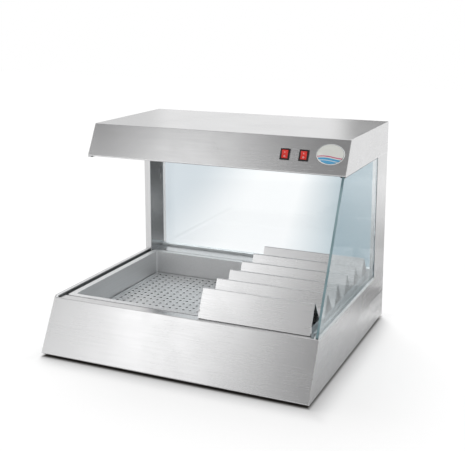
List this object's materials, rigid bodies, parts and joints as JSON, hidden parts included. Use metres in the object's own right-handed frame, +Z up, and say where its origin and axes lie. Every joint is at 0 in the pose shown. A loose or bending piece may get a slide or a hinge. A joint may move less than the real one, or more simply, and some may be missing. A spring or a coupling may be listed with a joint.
{
  "type": "chip warmer",
  "caption": "Countertop heated chip display with a slanted front, overhanging lamp hood, glass back and side, lift-out pan and ribbed bag rack.",
  "frame": {"origin": "middle of the footprint, on the worktop under the feet", "axes": "+Z up, +X to the operator's right along the width, +Y from the slanted front to the back"},
  "size_m": [0.7, 0.625, 0.55],
  "materials": {
    "stainless_steel": "satin, with fine horizontal brushing",
    "pan_steel": "satin",
    "rack_steel": "satin",
    "inner_sheet": "mill finish sheet",
    "frame_tube": "plain steel tube under covers",
    "clear_glass": "clear toughened glass with a faint blue tint",
    "black_channel": "matt black glazing channel",
    "aluminium_strip": "satin",
    "badge_enamel": "glossy enamel",
    "black_plastic": "satin black",
    "red_plastic": "glossy translucent red",
    "pale_moulding": "satin",
    "brass_fittings": "bright",
    "zinc_fasteners": "bright zinc plate",
    "black_rubber": "matt",
    "loom_rubber": "matt sleeve",
    "element_sheath": "heat-darkened sheath",
    "quartz": "frosted quartz",
    "white_ceramic": "matt steatite",
    "reflector_aluminium": "bright polished",
    "guard_wire": "bright",
    "mineral_wool": "loose felt"
  },
  "bodies": {
    "cabinet": {"back_glass": "clear_glass", "badge_plate": "badge_enamel", "base_bottom_plate": "inner_sheet", "base_front_panel": "stainless_steel", "base_rear_panel": "stainless_steel", "base_side_left": "stainless_steel", "base_side_right": "stainless_steel", "base_terminal_block": "pale_moulding", "bonding_stud": "brass_fittings", "cable_gland": "black_plastic", "deck_frame": "inner_sheet", "element_brackets": "inner_sheet", "element_glands": "brass_fittings", "foot_nuts": "zinc_fasteners", "foot_screws": "zinc_fasteners", "heating_element": "element_sheath", "hood_liner": "stainless_steel", "hood_rear_cover": "stainless_steel", "hood_shell": "stainless_steel", "hood_side_left": "stainless_steel", "hood_side_right": "stainless_steel", "hood_terminal_block": "pale_moulding", "infrared_tubes": "quartz", "insulation_blanket": "mineral_wool", "left_channel_strips": "aluminium_strip", "limit_thermostat": "pale_moulding", "lower_channel_left": "black_channel", "lower_channel_right": "black_channel", "lower_rear_channel": "black_channel", "post_cover_left": "stainless_steel", "post_cover_right": "stainless_steel", "post_foot_left": "stainless_steel", "post_foot_right": "stainless_steel", "post_frame_left": "frame_tube", "post_frame_right": "frame_tube", "rear_deck": "stainless_steel", "rear_screws": "zinc_fasteners", "reflector": "reflector_aluminium", "right_glass": "clear_glass", "rubber_feet": "black_rubber", "switch_housing_base": "black_plastic", "switch_housing_lamp": "black_plastic", "switch_tabs": "brass_fittings", "tube_end_caps": "white_ceramic", "tube_holders": "inner_sheet", "upper_channel_left": "black_channel", "upper_channel_right": "black_channel", "upper_rear_channel": "black_channel", "well_liner": "inner_sheet", "wire_guard": "guard_wire", "wiring_loom": "loom_rubber"},
    "pan": {"chip_pan": "pan_steel", "pan_divider": "pan_steel"},
    "drain_plate": {"drain_plate": "pan_steel"},
    "rack": {"rack_ribs": "rack_steel", "rack_rails": "rack_steel"},
    "lamp_rocker": {"rocker_lamp": "red_plastic"},
    "base_rocker": {"rocker_base": "red_plastic"}
  },
  "joints": [
    {"name": "lamp_switch", "type": "hinge", "parent": "cabinet", "child": "lamp_rocker", "pos_m": [0.1935, -0.05728, 0.50782], "axis": [-1, 0, 0], "range_deg": [0, 18]},
    {"name": "base_switch", "type": "hinge", "parent": "cabinet", "child": "base_rocker", "pos_m": [0.241, -0.05728, 0.50782], "axis": [-1, 0, 0], "range_deg": [0, 18]},
    {"name": "pan_lift", "type": "slide", "parent": "cabinet", "child": "pan", "axis": [0, 0, 1], "range_m": [0, 0.1]},
    {"name": "drain_plate_lift", "type": "slide", "parent": "pan", "child": "drain_plate", "axis": [0, 0, 1], "range_m": [0, 0.09]},
    {"name": "rack_lift", "type": "slide", "parent": "pan", "child": "rack", "axis": [0, 0, 1], "range_m": [0, 0.12]}
  ]
}
